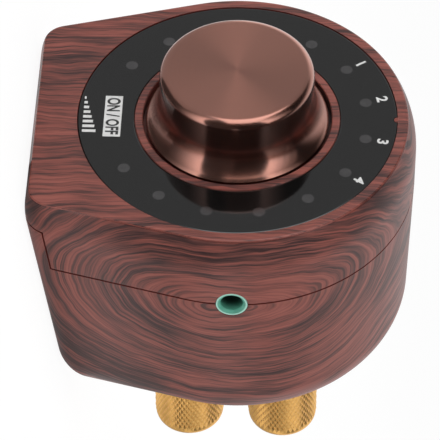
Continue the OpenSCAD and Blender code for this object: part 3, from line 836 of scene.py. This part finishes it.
def rear_holes():
    """Holes for the sockets in the left side, and for the terminals and the screws in the back"""
    side = -HEAD_R - CUT_PAST, 2 * WALL - HEAD_R
    power = moved(prism(circle(POWER_HOLE_R), *side), across(POWER_Y, POWER_D))
    data = moved(prism(slot(*DATA_SLOT), *side), across(DATA_Y, DATA_D))
    back = -CASE_DEPTH - CUT_PAST, 2 * WALL - CASE_DEPTH
    posts = at_places(prism(circle(POST_HOLE_R), *back), terminal_places())
    screws = at_places(prism(circle(SCREW_HOLE_R), *back), SCREWS)
    return [power, data, *posts, *screws]


def build_case():
    wood = wood_film()
    front_walls, rear_walls = skin_shapes()
    jack = prism(circle(JACK_HOLE_R), HEAD_R - 2 * WALL, HEAD_R + CUT_PAST)
    jack_hole = moved(jack, across(0, SEAM_D))

    front = make_cover("front_shell", front_walls, wood)
    cut(front, jack_hole, EDGE_INDEX)
    fit(front, "case", "casing", "front_cover")
    seat = make("dial_seat", lathe(seat_profile()), wood)
    fit(seat, "case", "casing", "front_cover")
    key = make("dial_key", key_shape(KEY_R, -RECESS_D, PANEL_TOP), wood)
    fit(key, "case", "casing", "front_cover")

    rear = make_cover("rear_shell", rear_walls, wood)
    cut(rear, joined(jack_hole, *rear_holes()), EDGE_INDEX)
    fit(rear, "case", "casing", "rear_cover")
    bosses = at_places(lathe(boss_profile(), BOSS_STEPS), SCREWS)
    fit(make("screw_bosses", joined(*bosses), SEAM_EDGE), "case", "casing", "rear_cover")


def seat_profile():
    """Recess floor, collar and knob pocket in the front cover"""
    floor, under = -RECESS_D, -RECESS_D - FLOOR_T
    return [
        (RECESS_R + SEAT_REACH, floor), (RECESS_R + SEAT_REACH, under),
        (BUSH_HOLE_R, under), (BUSH_HOLE_R, floor),
        (COLLAR_IN, floor), (COLLAR_IN, -COLLAR_EDGE), (COLLAR_IN + COLLAR_EDGE, 0),
        (COLLAR_R - COLLAR_EDGE, 0), (COLLAR_R, -COLLAR_EDGE), (COLLAR_R, floor),
    ][::-1]


def boss_profile():
    """Sleeve round a sunk screw"""
    back = WALL - CASE_DEPTH
    return [
        (SCREW_HOLE_R, back), (SCREW_HOLE_R, -BOSS_SEAT), (SCREW_SHANK_R, -BOSS_SEAT),
        (SCREW_SHANK_R, -BOSS_FROM), (BOSS_R, -BOSS_FROM), (BOSS_R, back),
    ]


# The dial panel and what is printed on it
def rounded_ring(inner, outer, low, high, edge):
    """Profile of a ring with rounded upper edges, and a narrow band beside each that keeps the top flat"""
    bevel = 0.3 * edge
    band = 1.5 * edge
    return [
        (inner, low), (outer, low), (outer, high - edge), (outer - bevel, high - bevel),
        (outer - edge, high), (outer - band, high), (inner + band, high), (inner + edge, high),
        (inner + bevel, high - bevel), (inner, high - edge),
    ]


def build_panel():
    ring = rounded_ring(PANEL_IN, PANEL_R, PANEL_LOW, PANEL_TOP, PANEL_EDGE)
    panel = make("dial_ring", lathe(ring, ROUND_STEPS), FINISHES["panel"])
    cut(panel, key_shape(KEY_R + PANEL_GAP, PANEL_LOW - CUT_PAST, PANEL_TOP + CUT_PAST))
    fit(panel, "case", "panel", "dial_panel")
    dots = [moved(prism(circle(DOT_R, DOT_STEPS), 0, PRINT_T), place) for place in dot_places()]
    fit(make("dial_dots", joined(*dots), DOT_GREY), "case", "panel")


def round_dial(radius, degrees):
    """Place on the panel at a radius and a clockwise angle from the top, upright from the middle"""
    turn = Matrix.Rotation(math.radians(-degrees), 4, "Z")
    return PRINT_PLACE @ turn @ Matrix.Translation((0, radius, 0))


def dot_places():
    """The ring of dots, with a gap of two at the bottom"""
    step = 360 / DOT_PLACES
    angles = [step * (i + 0.5) for i in range(DOT_PLACES)]
    return [round_dial(DOT_RING_R, a) for a in angles if abs(a - 180) > step]


def letter_mesh(name, text):
    curve = bpy.data.curves.new(name, "FONT")
    curve.body = text
    curve.offset = LETTER_SWELL
    writer = bpy.data.objects.new(name, curve)
    bpy.context.scene.collection.objects.link(writer)
    bpy.context.view_layer.update()
    mesh = bpy.data.meshes.new_from_object(writer.evaluated_get(bpy.context.evaluated_depsgraph_get()))
    bpy.data.objects.remove(writer)
    return mesh


def lettering(name, text, height, width=None):
    """Flat letters centred on the origin, of a height and, if given, a width"""
    mesh = letter_mesh(name, text)
    xs = [vertex.co.x for vertex in mesh.vertices]
    ys = [vertex.co.y for vertex in mesh.vertices]
    tall = height / (max(ys) - min(ys))
    wide = width / (max(xs) - min(xs)) if width else tall
    middle = Vector(((max(xs) + min(xs)) / 2, (max(ys) + min(ys)) / 2, 0))
    points = [
        Vector(((v.co.x - middle.x) * wide, (v.co.y - middle.y) * tall, PRINT_T))
        for v in mesh.vertices
    ]
    return points, [list(polygon.vertices) for polygon in mesh.polygons]


def plate(x0, y0, x1, y1):
    """A flat print with straight sides"""
    return [Vector((x, y, PRINT_T)) for x, y in oblong(x0, y0, x1, y1)], [[0, 1, 2, 3]]


def ramp_bars():
    """Bars that grow to the right"""
    left, low, right, high = RAMP_BOX
    pitch = (right - left) / RAMP_BARS
    bars = []
    for i in range(RAMP_BARS):
        top = low + (high - low) * (i + 1) / RAMP_BARS
        bars.append(plate(left + pitch * i, low, left + pitch * (i + RAMP_FILL), top))
    return bars


def build_prints():
    """Source numbers, the switch's box and the volume's ramp"""
    numbers = [
        moved(lettering("number", str(i + 1), MARK_H), round_dial(MARK_R, angle))
        for i, angle in enumerate(MARK_ANGLES)
    ]
    plates = [moved(shape, PRINT_PLACE) for shape in [plate(*SWITCH_BOX), *ramp_bars()]]
    fit(make("dial_print", joined(*numbers, *plates), PRINT_WHITE), "case", "panel")
    x0, y0, x1, y1 = SWITCH_BOX
    middle = Matrix.Translation(((x0 + x1) / 2, (y0 + y1) / 2, PRINT_T / 2))
    words = lettering("switch", "ON / OFF", SWITCH_TEXT_H, SWITCH_TEXT_W)
    fit(make("switch_print", moved(words, PRINT_PLACE @ middle), PRINT_DARK), "case", "panel")


# The knob
def knob_profile():
    """Foot flange, flare, side, round top edge and the hollow below the top"""
    flare = [
        (KNOB_R + roll_in(FLANGE_R - KNOB_R, FLARE_H, h), FLANGE_UP + h)
        for h in spread(0, FLARE_H, FLARE_STEPS)
    ]
    edge = [
        (KNOB_R - KNOB_EDGE * (1 - math.cos(a)), KNOB_H - KNOB_EDGE * (1 - math.sin(a)))
        for a in spread(0, math.pi / 2, EDGE_STEPS)
    ]
    return [
        (KNOB_IN_R, KNOB_FOOT), (FLANGE_R - FLANGE_EDGE, KNOB_FOOT), (FLANGE_R, KNOB_FOOT + FLANGE_EDGE),
        (FLANGE_R, FLANGE_UP - FLANGE_EDGE), (FLANGE_R - FLANGE_EDGE, FLANGE_UP),
        *flare[1:], *edge, (KNOB_R - KNOB_EDGE - HOLD, KNOB_H),
        (0, KNOB_H), (0, KNOB_IN_H), (KNOB_IN_R, KNOB_IN_H),
    ]


def build_knob():
    """The knob lies in its own frame, because its rings run round its own axis"""
    knob = make("knob_shell", lathe(knob_profile(), ROUND_STEPS), FINISHES["copper_aluminium"])
    knob.data.transform(FACE.inverted())
    knob.matrix_world = FACE
    fit(knob, "knob", "copper_aluminium", "knob")


# The terminals
def terminal_places():
    """Places of the terminals on the back, from their joints"""
    to_face = FACE.inverted()
    places = [to_face @ Vector(JOINTS[name + "_turn"]["pos_m"]) / MM for name in TERMINALS]
    return [(place.x, place.y) for place in places]


def cap_rows(radius, start, end):
    """Radius of the pits, radius of the peaks and height of each row of a cap, from its hole to its end"""
    valley = radius - KNURL_DEPTH
    hole = [(0, end + CAP_END), (STUD_HOLE_R, end + CAP_END), (STUD_HOLE_R, start)]
    rim = [(valley - CAP_RIM, start), (valley, start - CAP_RIM)]
    bend = [
        (radius - KNURL_DEPTH / 2 - CAP_EDGE * (1 - math.cos(a)), end + CAP_EDGE * (1 - math.sin(a)))
        for a in spread(0, math.pi / 2, CAP_EDGE_STEPS)
    ]
    count = 2 * round((start - end - CAP_RIM - CAP_EDGE) / KNURL_PITCH)
    knurl = spread(start - CAP_RIM, end + CAP_EDGE, count)[1:-1]
    rows = [(r, r, z) for r, z in hole + rim]
    rows += [(valley, radius, z) for z in knurl]
    return rows + [(r, r, z) for r, z in bend + [(0, end)]]


def knurled_cap(x, y, node):
    """Screw cap with a diamond knurl: peaks and pits take turns, and faces fold along the grooves"""
    end, start = heights_of(node)
    rows = cap_rows(radii_of(node, x, y)[1], start - CAP_CLEAR, end)
    columns = 2 * KNURLS
    points = []
    for row, (low, high, height) in enumerate(rows):
        for column in range(columns):
            reach = high if (row + column) % 2 else low
            angle = 2 * math.pi * column / columns
            points.append(Vector((x + reach * math.cos(angle), y + reach * math.sin(angle), height)))
    faces = []
    for row in range(len(rows) - 1):
        for column in range(columns):
            a = row * columns + column
            b = row * columns + (column + 1) % columns
            c, d = b + columns, a + columns
            faces += [[a, c, b], [a, d, c]] if (row + column) % 2 == 0 else [[a, d, b], [b, d, c]]
    return points, faces


def build_caps():
    for name, (x, y) in zip(TERMINALS, terminal_places()):
        node = name + "_cap"
        cap = make(name + "_knurl", knurled_cap(x, y, node), FINISHES["gilt_brass"])
        fit(cap, node, "gilt_brass", node)


def dress_nodes():
    """Gives every node its finish"""
    for node in frame["nodes"].values():
        for place in node.material_slots:
            place.material = FINISHES[place.material.name]


# The studio, with the camera placed in the face frame in millimetres
CAMERA_PLACE = Vector((358.3, 12.87, 355.6))
CAMERA_AIM = Vector((-0.06, -3.04, -25.03))
CAMERA_ROLL = 86.07
CAMERA_LENS = 251.2
SENSOR_WIDTH = 36
CAMERA_REACH = 20

# The floor, its cards and the lamps, placed in the part's own frame in metres
FLOOR_SIZE = 8
FLOOR_WHITE = 0.85
FLOOR_MOTTLE = 0.02
FLOOR_ROUGHNESS = 0.9
FLOOR_GLOW = 0.86
FLOOR_LEVEL = 1.07
BACKDROP_HEADING = (-0.69, 0.72, 0)
BACKDROP_EDGE = 0.0, 0.5
BACKDROP_LEVEL = 1.0
STUDIO_DIM = 0.02
CARD_LIFT, FLAG_LIFT = 0.0005, 0.001
CARD_FRONT = -0.022
STRIP_LEFT, STRIP_RIGHT = 0.010, 0.046
FLAG_LEFT, FLAG_AHEAD, FLAG_BACK = -0.016, -0.060, 0.030
BACK_FLAG = -0.2, 0.05, 0.06, 0.3
BACK_LEVEL = 0.5
CARD_LEVEL = 0.42
CARD_DARK = 0.06
CARD_FLECK = 0.95, 1.05
CARD_FLECK_SCALE = 0.02
STRIP_DIM, STRIP_BRIGHT = 0.1, 1.65
CEILING_LEVELS = 0.25, 0.6, 1.1, 1.6, 2.0
CEILING_LEFT = 0.2
CEILING_SLICE = 0.18
CEILING_Y = -0.7
CEILING_DEPTH = 1.4
CEILING_HEIGHT = 1.0

# Place, aim, width, height and level of the other lamps
CARD_LAMP = (-0.77, -0.64, 0.42), (0, 0, 0.42), 2.0, 0.9, 0.34
FRONT_LAMP = (0.06, -0.99, 0.22), (0, 0, 0.1), 1.05, 0.75, 1.9
FILL_LAMPS = [
    ((0.15, -0.95, 0.6), (0, 0, 0.03), 0.8, 0.8, 1.5),
    ((0.9, 0.4, 0.5), (0, 0, 0.03), 0.8, 0.8, 2.4),
]


def build_camera():
    data = bpy.data.cameras.new("photo_camera")
    data.lens = CAMERA_LENS
    data.sensor_width = SENSOR_WIDTH
    data.clip_end = CAMERA_REACH
    camera = bpy.data.objects.new("photo_camera", data)
    place = FACE @ (CAMERA_PLACE * MM)
    look = FACE @ (CAMERA_AIM * MM) - place
    turn = look.to_track_quat("-Z", "Y").to_matrix().to_4x4()
    roll = Matrix.Rotation(math.radians(CAMERA_ROLL), 4, "Z")
    camera.matrix_world = Matrix.Translation(place) @ turn @ roll
    bpy.context.scene.collection.objects.link(camera)
    bpy.context.scene.camera = camera


def seen_directly(tree):
    """1 where a surface is seen by the camera, in gloss or through glass"""
    path = add(tree, "LightPath", {}).outputs
    direct = calc(tree, "MAXIMUM", path["Is Camera Ray"], path["Is Glossy Ray"])
    return calc(tree, "MAXIMUM", direct, path["Is Transmission Ray"])


def flat_sheet(name, corners, height, material):
    """A flat sheet of the studio, at a height"""
    mesh = bpy.data.meshes.new(name)
    mesh.from_pydata([(x, y, height) for x, y in corners], [], [[0, 1, 2, 3]])
    mesh.materials.append(material)
    sheet = bpy.data.objects.new(name, mesh)
    bpy.context.scene.collection.objects.link(sheet)
    return sheet


def floor_paper():
    """White paper that glows where it is seen, and takes a soft shadow"""
    made, tree, shader = new_material("floor_paper")
    tint = noise(tree, add(tree, "TexCoord", {}).outputs["Object"], 2.0)
    dark = (FLOOR_WHITE - FLOOR_MOTTLE,) * 3 + (1,)
    pale = (FLOOR_WHITE + FLOOR_MOTTLE,) * 3 + (1,)
    plug(tree, shader.inputs["Base Color"], ramp(tree, tint, [(0.3, dark), (0.7, pale)]))
    shader.inputs["Roughness"].default_value = FLOOR_ROUGHNESS
    glow = add(tree, "Emission", {"Strength": FLOOR_LEVEL}).outputs[0]
    share = calc(tree, "MULTIPLY", seen_directly(tree), FLOOR_GLOW)
    mixed = add(tree, "MixShader", {0: share, 1: shader.outputs[0], 2: glow}).outputs[0]
    plug(tree, tree.nodes["Material Output"].inputs["Surface"], mixed)
    return made


def build_floor():
    half = FLOOR_SIZE / 2
    floor = flat_sheet("floor", oblong(-half, -half, half, half), 0, floor_paper())


def build_cards():
    """Cards on the floor, seen in gloss alone, with a strip ahead of the knob that fades to the left"""
    far = FLOOR_SIZE / 2
    right = [(STRIP_RIGHT, -far), (far, -far), (far, far / 3), (STRIP_RIGHT, FLAG_BACK)]
    lay_card("right_flag", right, CARD_LIFT, CARD_DARK, CARD_DARK)
    strip = oblong(STRIP_LEFT, -far, STRIP_RIGHT, FLAG_BACK)
    lay_card("front_strip", strip, CARD_LIFT, STRIP_DIM, STRIP_BRIGHT)
    left = oblong(-far, -far, STRIP_LEFT, CARD_FRONT)
    lay_card("left_card", left, CARD_LIFT, CARD_LEVEL, CARD_LEVEL)
    lay_card("back_flag", oblong(*BACK_FLAG), CARD_LIFT, BACK_LEVEL, BACK_LEVEL)
    flag = oblong(FLAG_LEFT, FLAG_AHEAD, STRIP_LEFT, CARD_FRONT)
    lay_card("left_flag", flag, FLAG_LIFT, CARD_DARK, CARD_DARK)


def lay_card(name, corners, lift, left, right):
    """A card just off the floor, whose brightness goes from a left level to a right one"""
    made, tree, _ = new_material(name)
    place = face_place(tree)
    fleck = scaled(tree, noise(tree, place, CARD_FLECK_SCALE), *CARD_FLECK)
    sides = sorted(x / MM for x, _ in corners)
    share = smooth_step(tree, add(tree, "SeparateXYZ", {0: place}).outputs[0], sides[0], sides[-1])
    level = calc(tree, "MULTIPLY", fleck, blend(tree, share, left, right))
    glow = add(tree, "Emission", {"Strength": level}).outputs[0]
    plug(tree, tree.nodes["Material Output"].inputs["Surface"], glow)
    card = flat_sheet(name, corners, lift, made)
    card.visible_camera = False
    card.visible_diffuse = False
    card.visible_shadow = False


def build_world():
    """A white backdrop behind the part, and a dim studio on the camera's side"""
    world = bpy.data.worlds.new("studio")
    bpy.context.scene.world = world
    world.use_nodes = True
    tree = world.node_tree
    heading = add(tree, "TexCoord", {}).outputs["Generated"]
    inputs = {0: heading, 1: BACKDROP_HEADING}
    behind = add(tree, "VectorMath", inputs, operation="DOT_PRODUCT").outputs["Value"]
    studio = blend(tree, smooth_step(tree, behind, *BACKDROP_EDGE), STUDIO_DIM, BACKDROP_LEVEL)
    shade = tree.nodes["Background"]
    shade.inputs["Color"].default_value = (1, 1, 1, 1)
    plug(tree, shade.inputs["Strength"], studio)


def softbox(name, place, aim, width, height, level):
    """Area lamp of a brightness, at a place and turned towards an aim"""
    data = bpy.data.lights.new(name, "AREA")
    data.shape = "RECTANGLE"
    data.size = width
    data.size_y = height
    data.energy = level * math.pi * width * height
    lamp = bpy.data.objects.new(name, data)
    lamp.location = place
    lamp.rotation_euler = (Vector(aim) - Vector(place)).to_track_quat("-Z", "Y").to_euler()
    bpy.context.scene.collection.objects.link(lamp)
    return lamp


def build_studio():
    build_camera()
    build_floor()
    build_cards()
    build_world()
    softbox("card", *CARD_LAMP)
    for i, level in enumerate(CEILING_LEVELS):
        x = CEILING_LEFT + CEILING_SLICE * (i + 0.5)
        place = x, CEILING_Y, CEILING_HEIGHT
        softbox("ceiling", place, (x, CEILING_Y, 0), CEILING_SLICE, CEILING_DEPTH, level)
    softbox("front_box", *FRONT_LAMP)
    for lamp in FILL_LAMPS:
        fill = softbox("fill", *lamp)
        fill.visible_glossy = False
    bpy.context.scene.view_settings.view_transform = "Standard"


dress_nodes()
build_case()
build_panel()
build_prints()
build_knob()
build_caps()
build_studio()
